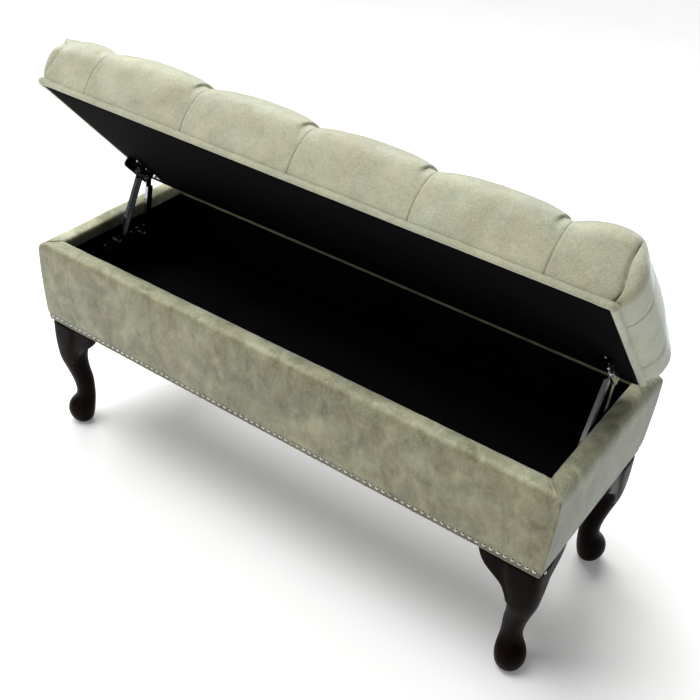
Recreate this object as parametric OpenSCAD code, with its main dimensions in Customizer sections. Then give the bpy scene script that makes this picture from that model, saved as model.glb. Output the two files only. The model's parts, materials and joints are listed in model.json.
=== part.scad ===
// Upholstered storage bench: a velvet-covered box on cabriole legs, with a deep-buttoned
// lid that lifts on a pair of four-bar ottoman hinges. The lid is drawn raised.
// Origin: on the floor, under the centre of the box. +X right, +Y to the back, +Z up.

/* [Box] */
// Length of the upholstered box
box_w = 1070; // [900:10:1300]
// Depth of the box, front to back
box_d = 375; // [345:5:450]
// Height of the upholstered sides
box_h = 170; // [150:5:220]
// Thickness of the frame boards
board_t = 22; // [18:1:25]
// Wadding and velvet over the outer faces and the rim
pad_t = 6; // [4:1:8]
// Velvet turned down inside the rim
band_t = 4; // [3:0.5:5]
// Depth of the velvet band inside the rim
band_h = 24; // [18:1:40]

/* [Legs] */
// Height of the legs
leg_h = 254; // [180:2:320]
// Width of the square top of a leg
leg_top = 66; // [56:1:76]
// How far a knee ear reaches from the corner along the box
ear_reach = 112; // [100:1:140]

/* [Lid] */
// How far the lid is raised, in degrees
lid_angle = 47.8; // [40:0.1:50]
// Gap between the closed lid and the rim
lid_gap = 0.5; // [0.3:0.1:2]
// Height of the lid at its crown
lid_h = 116; // [95:1:130]
// Thickness of the lid board
lid_board_t = 15; // [12:1:18]
// Diameter of the piping
piping_d = 11; // [8:0.5:12]
// How far the cushion swells past the box line
bulge = 14; // [8:1:18]

/* [Buttons and nails] */
// Buttons in the front and rear rows
row_buttons = 5; // [3:1:7]
// Diameter of a covered button
button_d = 22; // [16:1:26]
// Distance between decorative nails
nail_pitch = 12.4; // [10:0.2:20]
// Diameter of a nail head
nail_d = 7; // [5:0.5:9]

/* [Hinges] */
// Swing of the rear arm between closed and open, in degrees
rear_swing = 50.6; // [48:0.1:51]
// Width of a pressed steel arm
arm_w = 14; // [12:1:15]
// Thickness of the arm's web
arm_t = 2; // [1.5:0.1:2.5]
// Play of the front arm's open upper pivot
open_play = 2.7; // [2.6:0.1:3]

/* [Hidden] */
$fn = 48;

velvet = "#b3ae93";
velvet_light = "#c6c3ab";
lining_black = "#17161a";
timber = "#c9a878";
mahogany = "#2e1a16";
zinc = "#b9bcc0";
nickel = "#e4e2da";
foam_yellow = "#e8dcaa";

half_w = box_w / 2;
half_d = box_d / 2;
box_z = leg_h;                       // underside of the box
rim_z = leg_h + box_h;               // top of the rim
wrap_t = 1;                          // velvet folded under the boards
rim_t = pad_t + board_t + band_t;    // whole thickness of an upholstered side
lining_t = 2;
inner_w = half_w - pad_t - board_t;  // inner faces of the boards
inner_d = half_d - pad_t - board_t;
batten = 22;
block = 90;
tee_flange_t = 1.5;
base_t = 9;
base_z = box_z + wrap_t + batten;
floor_z = base_z + base_t + lining_t;

// Hinge pivots, as [y, z] from the centre of the rim's plane.
front_low = [-26, -56];
rear_low = [41, -67];
// Hinge pivots on the lid, as [distance from its rear edge, height above its underside].
front_up = [76, -10.5];
rear_up = [45, -10.5];
// The front arm runs ahead of the exact linkage by this angle, which spreads the
// mismatch of its open pivot evenly over the travel.
front_lead = 0.93;

function turn2(p, a) = [p[0]*cos(a) - p[1]*sin(a), p[0]*sin(a) + p[1]*cos(a)];
function closed_at(p) = [half_d - p[0], lid_gap + p[1]];
function lid_dir(p, a) = [-p[0]*cos(a) + p[1]*sin(a), p[0]*sin(a) + p[1]*cos(a)];
function heading(v) = atan2(v[1], v[0]);

rear_link = closed_at(rear_up) - rear_low;
rear_open = rear_low + turn2(rear_link, rear_swing);
lid_at = rear_open - lid_dir(rear_up, lid_angle);   // the lid's rear lower edge
front_open = lid_at + lid_dir(front_up, lid_angle);
front_len = (norm(front_open - front_low) + norm(closed_at(front_up) - front_low)) / 2;
front_heading = heading(front_open - front_low) + front_lead;
rear_heading = heading(rear_open - rear_low);
front_tip = front_low + front_len * [cos(front_heading), sin(front_heading)];

// Layers of a hinge, measured along X from the box's centre.
flange_t = 2.2;
flange_x = half_w - rim_t - 3.5;          // outer face of the lid bracket's flange
washer_t = 0.8;
arm_x = flange_x - flange_t - washer_t - 0.1;  // outer face of the arms
arm_lip = 5;
lip_t = 1.4;
plate_t = 2.5;
plate_x = inner_w - lining_t;             // outer face of the plate on the lining
pin_r = 3;
run = 0.06;                               // radial clearance of a running pivot
open_pin_r = 2.5;
rivet_head_r = 4.8;
rivet_head_t = 2;
cover_head_r = 8.5;                       // washers that hide the open pivot's hole
cover_head_t = 1.5;
screw_r = 2;
screw_head_r = 4;
screw_head_t = 2;
joined = 0.01;                            // how far a shank runs into its head

// Deep buttoning
cover_t = 3;
cushion_r = 36;
button_rows = [90, box_d / 2, box_d - 94];
pocket_h = 12;
pocket_r = 17;
button_pitch = box_w / row_buttons;
function row_x(n) = [for (i = [0:n-1]) (i - (n - 1) / 2) * button_pitch];
button_places = [
    for (u = [button_rows[0], button_rows[2]]) for (x = row_x(row_buttons)) [x, u],
    for (x = row_x(row_buttons - 1)) [x, button_rows[1]]
];

// ---------- helpers ----------

// A plate with its corners rounded by the four radii in r, in counter-clockwise order
// from the corner at the origin.
module rounded_plate(w, h, r) {
    difference() {
        square([w, h]);
        corner_cut([0, 0], 0, r[0]);
        corner_cut([w, 0], 90, r[1]);
        corner_cut([w, h], 180, r[2]);
        corner_cut([0, h], 270, r[3]);
    }
}

module corner_cut(at, turn, r) {
    if (r > 0)
        translate(at) rotate(turn) difference() {
            translate([-1, -1]) square(r + 1);
            translate([r, r]) circle(r);
        }
}

module centred_plate(w, h, r) {
    translate([-w/2, -h/2]) rounded_plate(w, h, [r, r, r, r]);
}

module mirrored_x() {
    children();
    mirror([1, 0, 0]) children();
}

module all_corners() {
    for (sx = [0, 1], sy = [0, 1])
        mirror([sx, 0, 0]) mirror([0, sy, 0]) children();
}

// Places a child drawn in the lid's own frame: origin at the middle of its rear lower
// edge, -Y towards its front edge, Z out of its underside.
module on_lid() {
    translate([0, lid_at[0], rim_z + lid_at[1]]) rotate([-lid_angle, 0, 0]) children();
}

// Turns a profile drawn in [y, z] into a plate of thickness t that ends at x.
module plate_yz(x, t) {
    translate([x - t, 0, 0]) rotate([90, 0, 90]) linear_extrude(t) children();
}

module rod_x(x0, x1, y, z, r) {
    translate([x0, y, z]) rotate([0, 90, 0]) cylinder(r = r, h = x1 - x0);
}

// ---------- box frame ----------

module long_board() {
    color(timber)
        translate([-inner_w - board_t, -inner_d - board_t, box_z + wrap_t])
            cube([2 * (inner_w + board_t), board_t, box_h - wrap_t - pad_t]);
}

module front_board() { long_board(); }
module rear_board() { mirror([0, 1, 0]) long_board(); }

module right_board() {
    color(timber)
        translate([inner_w, -inner_d, box_z + wrap_t])
            cube([board_t, 2 * inner_d, box_h - wrap_t - pad_t]);
}

module left_board() { mirror([1, 0, 0]) right_board(); }

bolt_in = 44;                 // leg bolts stand this far in from the box faces
bolt_at = [half_w - bolt_in, half_d - bolt_in];
block_h = batten - tee_flange_t;
bolt_r = 4;
tee_barrel_r = 5.5;
tee_barrel_h = 12;

module corner_blocks() {
    color(timber) all_corners()
        difference() {
            translate([inner_w - block, inner_d - block, box_z + wrap_t])
                cube([block, block, block_h]);
            translate([bolt_at[0], bolt_at[1], box_z]) {
                cylinder(r = bolt_r + 0.3, h = block_h + 2);
                translate([0, 0, wrap_t + block_h - tee_barrel_h])
                    cylinder(r = tee_barrel_r, h = tee_barrel_h + 1);
            }
        }
}

// Countersunk screws through the corner blocks into the boards.
module corner_screws() {
    screw_l = 30;
    head_in = 16;
    color(zinc) all_corners()
        for (side = [0, 1])
            translate([inner_w - (side == 0 ? head_in : block - head_in),
                       inner_d - (side == 0 ? block - head_in : head_in),
                       box_z + wrap_t + block_h / 2])
                rotate(side == 0 ? [0, 90, 0] : [-90, 0, 0])
                    cylinder(r = screw_r, h = screw_l);
}

module floor_battens() {
    color(timber) for (sy = [0, 1]) mirror([0, sy, 0])
        translate([-inner_w + block, inner_d - batten, box_z + wrap_t])
            cube([2 * (inner_w - block), batten, batten]);
}

module base_board() {
    color(timber) translate([-inner_w, -inner_d, base_z]) cube([2 * inner_w, 2 * inner_d, base_t]);
}

module floor_lining() {
    color(lining_black)
        translate([-inner_w, -inner_d, base_z + base_t]) cube([2 * inner_w, 2 * inner_d, lining_t]);
}

module wall_lining() {
    color(lining_black) translate([0, 0, floor_z])
        linear_extrude(rim_z - band_h - floor_z) difference() {
            square([2 * inner_w, 2 * inner_d], center = true);
            square([2 * (inner_w - lining_t), 2 * (inner_d - lining_t)], center = true);
        }
}

module dust_cover() {
    sheet_t = 0.8;
    color(lining_black) translate([0, 0, box_z + wrap_t - sheet_t])
        linear_extrude(sheet_t) difference() {
            square([2 * inner_w, 2 * inner_d], center = true);
            all_corners() translate(bolt_at) circle(bolt_r + 1);
        }
}

// ---------- velvet covers ----------

// Section of an upholstered side: outer face at 0, rim at the top, turned in below.
module cover_section() {
    difference() {
        rounded_plate(rim_t, box_h, [7, 1, 5, 9]);
        translate([pad_t, wrap_t]) square([board_t, box_h - wrap_t - pad_t]);
        translate([pad_t + board_t - 1, -1]) square([band_t + 2, wrap_t + 2]);
        translate([pad_t + board_t, -1]) square([band_t + 1, box_h - band_h + 1]);
    }
}

// One side of the box, mitred at both ends and trimmed to the box's rounded corners.
module mitred_cover(length, reach) {
    corner_r = 5;
    mitre = rim_t + 4;
    intersection() {
        translate([-length / 2, -reach, box_z]) rotate([90, 0, 90])
            linear_extrude(length) cover_section();
        translate([0, 0, box_z - 1]) linear_extrude(box_h + 2)
            polygon([[-length/2, -reach], [length/2, -reach],
                     [length/2 - mitre, -reach + mitre], [-length/2 + mitre, -reach + mitre]]);
        translate([0, 0, box_z - 1]) linear_extrude(box_h + 2)
            centred_plate(length, 2 * reach, corner_r);
    }
}

module front_cover() { color(velvet) mitred_cover(box_w, half_d); }
module rear_cover() { color(velvet) rotate(180) mitred_cover(box_w, half_d); }
module right_cover() { color(velvet_light) rotate(90) mitred_cover(box_d, half_w); }
module left_cover() { color(velvet_light) rotate(-90) mitred_cover(box_d, half_w); }

// Domed decorative nails along the foot of the front panel, with one past each corner.
module front_nails() {
    nail_z = box_z + 11;
    corner_nail = 10;
    count = floor((box_w - 20) / nail_pitch);
    color(nickel) {
        for (i = [0:count])
            translate([(i - count / 2) * nail_pitch, -half_d, nail_z]) rotate([90, 0, 0]) nail();
        mirrored_x() translate([half_w, -half_d + corner_nail, nail_z]) rotate([0, 90, 0]) nail();
    }
}

module nail() {
    shank = 10;
    dome_r = nail_d * 0.62;
    dome_sink = sqrt(dome_r * dome_r - nail_d * nail_d / 4);
    intersection() {
        translate([0, 0, -dome_sink]) sphere(dome_r);
        cylinder(r = nail_d, h = nail_d);
    }
    translate([0, 0, -shank]) cylinder(r = 0.8, h = shank + 0.1);
}

// ---------- legs ----------

// Stations down a cabriole leg: [height at its own scale, distance of its centre in from
// the box's corner along the diagonal, half width, squareness (2 is round)].
leg_stations = [
    [0, 48, 33, 4.5],
    [-24, 47.5, 33, 4.2],
    [-46, 44, 31, 3.4],
    [-70, 40.5, 27.6, 2.8],
    [-95, 40, 24.5, 2.4],
    [-123, 46, 21.3, 2.2],
    [-151, 53, 19.7, 2.1],
    [-176, 55.5, 18.5, 2],
    [-192, 54, 20, 2],
    [-210, 46.5, 26, 2],
    [-227, 43.5, 27, 2],
    [-243, 44, 23.5, 2],
    [-256, 46, 15, 2]
];
leg_drawn_h = 256;
leg_spans = len(leg_stations) - 1;
leg_rings = 25;
leg_sides = 20;

function station(i) = leg_stations[max(0, min(leg_spans, i))];
// Catmull-Rom curve through the stations.
function leg_at(s) =
    let (i = min(floor(s), leg_spans - 1), t = s - i,
         a = station(i - 1), b = station(i), c = station(i + 1), d = station(i + 2))
    0.5 * (2*b + (c - a)*t + (2*a - 5*b + 4*c - d)*t*t + (3*b - a - 3*c + d)*t*t*t);
function signed_power(v, n) = sign(v) * pow(abs(v), 2 / n);
// One ring of the leg: a superellipse whose flats face the box's sides.
function leg_ring(p) = [
    for (k = [0:leg_sides - 1])
        let (a = 360 * (k + 0.5) / leg_sides)
        [-p[1] / sqrt(2) + p[2] * signed_power(cos(a), p[3]),
         -p[1] / sqrt(2) + p[2] * signed_power(sin(a), p[3]),
         p[0] * leg_h / leg_drawn_h]
];

module leg_shaft() {
    n = leg_sides;
    last = leg_rings - 1;
    points = [for (i = [0:last]) each leg_ring(leg_at(i * leg_spans / last))];
    faces = [
        [for (k = [n-1:-1:0]) k],
        for (i = [0:last - 1], k = [0:n-1])
            [i*n + k, i*n + (k+1) % n, (i+1)*n + (k+1) % n, (i+1)*n + k],
        [for (k = [0:n-1]) last*n + k]
    ];
    polyhedron(points, faces, convexity = 6);
}

// Ear that spreads the knee along one side of the box. Its lower edge is a shallow curve
// from a thin tip down to where it runs into the leg.
module knee_ear() {
    ear_t = 20;
    ear_in = 5;
    tip = [-ear_reach, -4];
    bend = [-ear_reach + 10, -32];
    foot = [-54, -72];
    ear_root = 40;
    steps = 10;
    translate([0, -ear_in, 0]) rotate([90, 0, 0]) linear_extrude(ear_t)
        polygon([
            [-ear_root, 0], [-ear_reach, 0],
            for (i = [0:steps]) let (t = i / steps)
                (1-t)*(1-t)*tip + 2*t*(1-t)*bend + t*t*foot,
            [-ear_root, foot[1]]
        ]);
}

// A leg at the corner with positive X and Y, drilled for its bolt.
module corner_leg() {
    bolt_depth = 44;
    color(mahogany) difference() {
        translate([half_w, half_d, box_z]) {
            leg_shaft();
            knee_ear();
            mirror([1, -1, 0]) knee_ear();
        }
        translate([bolt_at[0], bolt_at[1], box_z - bolt_depth])
            cylinder(r = bolt_r, h = bolt_depth + 1);
    }
}

module rear_right_leg() { corner_leg(); }
module rear_left_leg() { mirror([1, 0, 0]) corner_leg(); }
module front_right_leg() { mirror([0, 1, 0]) corner_leg(); }
module front_left_leg() { mirror([1, 0, 0]) mirror([0, 1, 0]) corner_leg(); }

module leg_bolts() {
    bolt_l = 62;
    color(zinc) all_corners()
        translate([bolt_at[0], bolt_at[1], box_z + wrap_t + block_h - bolt_l])
            cylinder(r = bolt_r - 0.05, h = bolt_l);
}

// Tee nuts let into the tops of the corner blocks.
module leg_tee_nuts() {
    tee_flange_r = 9.5;
    color(zinc) all_corners()
        translate([bolt_at[0], bolt_at[1], box_z + wrap_t + block_h]) difference() {
            union() {
                cylinder(r = tee_flange_r, h = tee_flange_t);
                translate([0, 0, -tee_barrel_h]) cylinder(r = tee_barrel_r, h = tee_barrel_h);
            }
            translate([0, 0, -tee_barrel_h - 1])
                cylinder(r = bolt_r, h = tee_barrel_h + tee_flange_t + 2);
        }
}

// ---------- hinges, drawn on the right and mirrored to the left ----------

plate_screws = [[-58, -54], [12, -54], [27, -50]];
boss_r = 7.5;

// Lower plate: a pressed strip with a raised boss under each pivot.
module hinge_plate() {
    boss_end = arm_x + 0.1;
    strip_at = [-66, -70];
    strip = [124, 30];
    tab_at = [-6, -50];
    tab = [42, 14];
    corner = 6;
    color(zinc) translate([0, 0, rim_z]) difference() {
        union() {
            plate_yz(plate_x, plate_t) difference() {
                union() {
                    translate(strip_at)
                        rounded_plate(strip[0], strip[1], [corner, corner, corner, corner]);
                    translate(tab_at) rounded_plate(tab[0], tab[1], [0, 0, corner, corner]);
                    translate(rear_low) circle(boss_r + 5);
                }
                for (p = plate_screws) translate(p) circle(screw_r + 0.3);
            }
            for (p = [front_low, rear_low]) rod_x(boss_end, plate_x - plate_t / 2, p[0], p[1], boss_r);
        }
        for (p = [front_low, rear_low]) rod_x(boss_end - 1, plate_x + 1, p[0], p[1], pin_r);
    }
}

module right_hinge_plate() { hinge_plate(); }
module left_hinge_plate() { mirror([1, 0, 0]) hinge_plate(); }

// Rivets that hold the arms to the lower plate.
module lower_rivets() {
    color(zinc) translate([0, 0, rim_z]) for (p = [front_low, rear_low]) {
        rod_x(arm_x - arm_t - 0.1 - joined, plate_x, p[0], p[1], pin_r);
        rivet_dome(arm_x - arm_t - 0.1, p, rivet_head_r, rivet_head_t);
    }
}

// Domed rivet head that faces the middle of the box, with its flat at x.
module rivet_dome(x, p, r, t) {
    dome_r = (r * r + t * t) / (2 * t);
    translate([x, p[0], p[1]]) rotate([0, -90, 0]) intersection() {
        translate([0, 0, t - dome_r]) sphere(dome_r);
        cylinder(r = r + 1, h = t + 1);
    }
}

module right_lower_rivets() { lower_rivets(); }
module left_lower_rivets() { mirror([1, 0, 0]) lower_rivets(); }

module hinge_plate_screws() {
    shank = 18;
    color(zinc) mirrored_x() translate([0, 0, rim_z]) for (p = plate_screws) {
        rod_x(plate_x - plate_t - joined, plate_x - plate_t + shank, p[0], p[1], screw_r);
        rivet_dome(plate_x - plate_t, p, screw_head_r, screw_head_t);
    }
}

// Pressed channel arm from a lower pivot: a web with a lip along each edge.
module arm(low, angle, length, bore_low, bore_up) {
    lip_from = arm_w;
    color(zinc) translate([0, low[0], rim_z + low[1]]) rotate([angle, 0, 0]) difference() {
        union() {
            plate_yz(arm_x, arm_t) {
                circle(d = arm_w);
                translate([length, 0]) circle(d = arm_w);
                translate([0, -arm_w / 2]) square([length, arm_w]);
            }
            for (edge = [-arm_w / 2, arm_w / 2 - lip_t])
                translate([arm_x - arm_t - arm_lip, lip_from, edge])
                    cube([arm_lip + arm_t / 2, length - 2 * lip_from, lip_t]);
        }
        rod_x(arm_x - arm_t - 1, arm_x + 1, 0, 0, bore_low);
        rod_x(arm_x - arm_t - 1, arm_x + 1, length, 0, bore_up);
    }
}

module front_arm() { arm(front_low, front_heading, front_len, pin_r + run, open_pin_r); }
module rear_arm() { arm(rear_low, rear_heading, norm(rear_link), pin_r + run, pin_r + run); }
module right_front_arm() { front_arm(); }
module right_rear_arm() { rear_arm(); }
module left_front_arm() { mirror([1, 0, 0]) front_arm(); }
module left_rear_arm() { mirror([1, 0, 0]) rear_arm(); }

// Rivet of the open pivot: it rides with the front arm and has play in the bracket.
module front_rivet() {
    head_x = flange_x + 0.1;
    color(zinc) translate([0, 0, rim_z]) {
        rod_x(arm_x - arm_t - joined, head_x + cover_head_t, front_tip[0], front_tip[1], open_pin_r);
        rod_x(arm_x, arm_x + washer_t, front_tip[0], front_tip[1], cover_head_r);
        rod_x(head_x, head_x + cover_head_t, front_tip[0], front_tip[1], cover_head_r);
        rivet_dome(arm_x - arm_t, front_tip, rivet_head_r, rivet_head_t);
    }
}

module right_front_rivet() { front_rivet(); }
module left_front_rivet() { mirror([1, 0, 0]) front_rivet(); }

// ---------- lid ----------

board_in = 15;                // the lid board stops this far inside the box line
board_half_w = half_w - board_in;
lid_lining_t = 1.2;
board_bottom = 1.5;           // height of the lid board's underside
board_top = board_bottom + lid_board_t;

// A pin across the lid's own frame at [distance from the rear edge, height].
function lid_yz(p) = [-p[0], p[1]];

module upper_rear_rivets() {
    color(zinc) on_lid() mirrored_x() {
        rod_x(arm_x - arm_t - 0.1 - joined, flange_x, lid_yz(rear_up)[0], rear_up[1], pin_r);
        rod_x(arm_x + 0.05, flange_x - flange_t, lid_yz(rear_up)[0], rear_up[1], boss_r);
        rivet_dome(arm_x - arm_t - 0.1, lid_yz(rear_up), rivet_head_r, rivet_head_t);
    }
}

bracket_from = 35;            // its rear end clears the band inside the rim
bracket_to = 124;
bracket_drop = 21;
bracket_wide = 24;
bracket_top = 0.2;            // just under the lid's lining
bracket_screws = [44, 78, 112];
bracket_screw_in = 16;

// Angle bracket under the lid: its upright flange carries the two upper pivots.
module lid_bracket() {
    corner = 6;
    notch_r = cover_head_r + open_play + 0.4;
    color(zinc) on_lid() difference() {
        union() {
            plate_yz(flange_x, flange_t)
                translate([-bracket_to, -bracket_drop])
                    rounded_plate(bracket_to - bracket_from, bracket_drop + bracket_top,
                                  [corner, corner, 0, 0]);
            translate([flange_x - bracket_wide, -bracket_to, bracket_top - flange_t])
                cube([bracket_wide - flange_t / 2, bracket_to - bracket_from, flange_t]);
        }
        rod_x(arm_x - arm_t - arm_lip, flange_x - flange_t, lid_yz(front_up)[0], front_up[1],
              notch_r);
        rod_x(flange_x - flange_t - 1, flange_x + 1, lid_yz(rear_up)[0], rear_up[1], pin_r);
        rod_x(flange_x - flange_t - 1, flange_x + 1, lid_yz(front_up)[0], front_up[1],
              open_pin_r + open_play);
        for (u = bracket_screws)
            translate([flange_x - bracket_screw_in, -u, -flange_t - 1])
                cylinder(r = screw_r + 0.3, h = flange_t + 3);
    }
}

module right_lid_bracket() { lid_bracket(); }
module left_lid_bracket() { mirror([1, 0, 0]) lid_bracket(); }

module lid_bracket_screws() {
    shank = 14;
    color(zinc) on_lid() mirrored_x() for (u = bracket_screws)
        translate([flange_x - bracket_screw_in, -u, bracket_top - flange_t]) {
            translate([0, 0, -joined]) cylinder(r = screw_r, h = shank + joined);
            rotate([0, -90, 0]) rivet_dome(0, [0, 0], screw_head_r, screw_head_t);
        }
}

module lid_board() { color(timber) on_lid() board_box(0, board_bottom, board_top); }
module lid_lining() { color(lining_black) on_lid() board_box(0, board_bottom - lid_lining_t, board_bottom); }

// The cushion's crowned outline, shrunk by inset, above height from.
module cushion_hull(inset, from) {
    foot_r = 16;
    foot_in = 3;
    swell_z = lid_h - cushion_r - 8;
    hull() for (sx = [-1, 1], end = [0, 1]) {
        translate([sx * (half_w - foot_in - foot_r),
                   end == 0 ? -foot_in - foot_r : -box_d + foot_in + foot_r, from])
            cylinder(r = foot_r - inset, h = 2);
        translate([sx * (half_w + bulge - cushion_r),
                   end == 0 ? bulge / 2 - cushion_r : -box_d - bulge / 2 + cushion_r, swell_z])
            sphere(cushion_r - inset, $fn = 32);
        translate([sx * (half_w - 2 * cushion_r),
                   end == 0 ? -2 * cushion_r : -box_d + 2 * cushion_r, lid_h - cushion_r])
            sphere(cushion_r - inset, $fn = 32);
    }
}

module button_pockets(grow) {
    for (b = button_places) translate([b[0], -b[1], lid_h - pocket_h - grow])
        cylinder(r1 = button_d / 2 + 1 + grow, r2 = pocket_r + grow, h = pocket_h + grow + 0.1);
}

module foam_shape() {
    difference() {
        cushion_hull(cover_t, board_top);
        button_pockets(cover_t);
    }
}

module foam_pad() { color(foam_yellow) on_lid() foam_shape(); }

// The velvet cover closes over the foam and turns down over the lid board's edges.
module cushion_cover() {
    piping_top = piping_d + 0.6;
    color(velvet_light) on_lid() difference() {
        union() {
            cushion_hull(0, piping_top);
            board_box(cover_t, board_bottom, piping_top);
        }
        foam_shape();
        board_box(0, board_bottom - 1, board_top);
        button_pockets(0);
    }
}

// A block over the lid board's outline, grown by grow, from one height to another.
module board_box(grow, from, to) {
    translate([-board_half_w - grow, -box_d + board_in - grow, from])
        cube([2 * (board_half_w + grow), box_d - 2 * (board_in - grow), to - from]);
}

module cushion_buttons() {
    dome = button_d / 2 * 1.3;
    base = 3;
    color(velvet_light) on_lid() for (b = button_places)
        translate([b[0], -b[1], lid_h - pocket_h]) {
            cylinder(d = button_d, h = base);
            intersection() {
                translate([0, 0, base - sqrt(dome * dome - button_d * button_d / 4)]) sphere(dome);
                translate([0, 0, base - 0.1]) cylinder(r = button_d, h = button_d);
            }
        }
}

// Twine that holds each button down to the lid board.
module button_ties() {
    color(timber) on_lid() for (b = button_places)
        translate([b[0], -b[1], board_bottom]) cylinder(r = 1, h = lid_h - pocket_h - board_bottom);
}

// Covered cord round the lid's lower edge.
module lid_piping() {
    r = piping_d / 2;
    bend = 10;
    x = half_w - r;
    y = half_d - r;
    color(velvet_light) on_lid() translate([0, -half_d, r + 0.3]) {
        all_corners() translate([x - bend, y - bend, 0])
            rotate_extrude(angle = 90) translate([bend, 0]) circle(r);
        for (s = [-1, 1]) {
            translate([-x + bend, s * y, 0]) rotate([0, 90, 0]) cylinder(r = r, h = 2 * (x - bend));
            translate([s * x, -y + bend, 0]) rotate([-90, 0, 0]) cylinder(r = r, h = 2 * (y - bend));
        }
    }
}

front_board();
rear_board();
left_board();
right_board();
corner_blocks();
corner_screws();
floor_battens();
base_board();
floor_lining();
wall_lining();
dust_cover();
front_cover();
rear_cover();
left_cover();
right_cover();
front_nails();
front_left_leg();
front_right_leg();
rear_left_leg();
rear_right_leg();
leg_bolts();
leg_tee_nuts();
left_hinge_plate();
right_hinge_plate();
left_lower_rivets();
right_lower_rivets();
hinge_plate_screws();
left_front_arm();
left_rear_arm();
right_front_arm();
right_rear_arm();
left_front_rivet();
right_front_rivet();
upper_rear_rivets();
left_lid_bracket();
right_lid_bracket();
lid_bracket_screws();
lid_board();
lid_lining();
foam_pad();
cushion_cover();
cushion_buttons();
button_ties();
lid_piping();
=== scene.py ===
import json
import math

import bpy
import numpy as np
from mathutils import Matrix, Vector, noise


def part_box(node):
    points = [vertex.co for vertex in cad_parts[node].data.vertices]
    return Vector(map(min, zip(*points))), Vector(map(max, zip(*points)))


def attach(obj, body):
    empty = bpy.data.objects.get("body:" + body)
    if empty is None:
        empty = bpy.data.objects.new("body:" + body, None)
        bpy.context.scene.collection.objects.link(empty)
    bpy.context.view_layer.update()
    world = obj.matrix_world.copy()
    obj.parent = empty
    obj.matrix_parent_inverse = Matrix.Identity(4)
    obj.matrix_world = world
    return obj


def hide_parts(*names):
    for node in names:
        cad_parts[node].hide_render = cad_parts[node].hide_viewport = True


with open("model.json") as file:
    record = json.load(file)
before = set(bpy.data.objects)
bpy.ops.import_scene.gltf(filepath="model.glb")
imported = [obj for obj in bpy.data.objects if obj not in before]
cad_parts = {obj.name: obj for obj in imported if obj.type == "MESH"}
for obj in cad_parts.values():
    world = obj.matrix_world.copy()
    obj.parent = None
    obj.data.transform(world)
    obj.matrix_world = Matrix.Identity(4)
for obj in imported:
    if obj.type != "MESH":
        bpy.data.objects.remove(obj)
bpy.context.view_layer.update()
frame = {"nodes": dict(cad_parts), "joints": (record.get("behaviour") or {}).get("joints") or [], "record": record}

MM = 0.001

# ---------- places taken from the frame ----------

cover_low, cover_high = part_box("front_cover")
HALF_W = cover_high.x                        # the upholstered box
HALF_D = -cover_low.y
BOX_Z = cover_low.z                          # its underside
RIM_Z = cover_high.z                         # top of its rim

joints = {j["name"]: j for j in frame["joints"]}
followers = {c["joint"]: c["ratio"] for c in frame["record"]["behaviour"]["couplings"]}
LID_ANGLE = math.radians(joints["lid_lift"]["range_deg"][1] * (followers["lid_turn"] - 1))


def lid_frame():
    """The lid's own frame: origin at the middle of its rear lower edge, -Y to its front edge,
    Z up through it."""
    board_in, board_bottom = 15 * MM, 1.5 * MM
    turn = Matrix.Rotation(-LID_ANGLE, 4, "X")
    local = [turn.inverted() @ v.co for v in frame["nodes"]["lid_board"].data.vertices]
    rear = max(p.y for p in local) + board_in
    bottom = min(p.z for p in local) - board_bottom
    return Matrix.Translation(turn @ Vector((0, rear, bottom))) @ turn


LID = lid_frame()

# ---------- meshes ----------


def piece(name, points, faces, body, material, place=None):
    """A smooth mesh piece that rides on a body."""
    mesh = bpy.data.meshes.new(name)
    mesh.from_pydata(np.asarray(points, float).tolist(), [], faces)
    mesh.polygons.foreach_set("use_smooth", [True] * len(mesh.polygons))
    if place is not None:
        mesh.transform(place)
    mesh.materials.append(material)
    obj = bpy.data.objects.new(name, mesh)
    bpy.context.scene.collection.objects.link(obj)
    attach(obj, body)
    return obj


def strip(rows, columns, start=0, wrap=False):
    """Quads between rows of points. wrap joins the last column to the first."""
    last = columns if wrap else columns - 1
    return [
        (start + r * columns + c, start + r * columns + (c + 1) % columns,
         start + (r + 1) * columns + (c + 1) % columns, start + (r + 1) * columns + c)
        for r in range(rows - 1) for c in range(last)
    ]


def smooth(x):
    """Smooth step from 0 to 1."""
    x = np.clip(x, 0, 1)
    return x * x * (3 - 2 * x)


def catmull(points, steps):
    """A smooth curve through rows of numbers, with that many steps between two."""
    p = np.array(points, float)
    p = np.vstack([2 * p[0] - p[1], p, 2 * p[-1] - p[-2]])
    t = np.arange(steps)[:, None] / steps
    spans = [
        0.5 * (2 * b + (c - a) * t + (2 * a - 5 * b + 4 * c - d) * t**2
               + (3 * b - a - 3 * c + d) * t**3)
        for a, b, c, d in zip(p[:-3], p[1:-2], p[2:-1], p[3:])
    ]
    return np.vstack(spans + [p[-2][None]])


def ripple(points, scale, seed):
    """Gentle noise, about -1 to 1, at each point. scale is the size of a ripple."""
    shift = Vector((seed * 13.7, seed * 5.3, seed * 9.1))
    return np.array([noise.noise(Vector(p) / scale + shift) for p in points])


def outline_point(length, a, b, r):
    """The point that far along a side of a rounded rectangle, from the side's middle, as
    (along, out). It runs on round the corner and along the next side. a and b are half sizes
    along and across the side, r the corner's radius."""
    sign, length = np.sign(length), np.abs(length)
    turn = np.clip((length - (a - r)) / max(r, 1e-6), 0, math.pi / 2)
    along = np.where(length <= a - r, length, a - r + r * np.sin(turn))
    past = np.maximum(length - (a - r) - r * math.pi / 2, 0)
    return sign * along, b - r + r * np.cos(turn) - past


def side_length(a, r):
    """From the middle of a side to the middle of its rounded corner, along the outline."""
    return a - r + r * math.pi / 4


def spaced(start, end, cells, crowd):
    """Evenly numbered places from start to end, closer together at both ends by crowd."""
    f = np.linspace(0, 1, cells + 1)
    return start + (end - start) * (f - crowd * np.sin(2 * math.pi * f) / (2 * math.pi))


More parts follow.
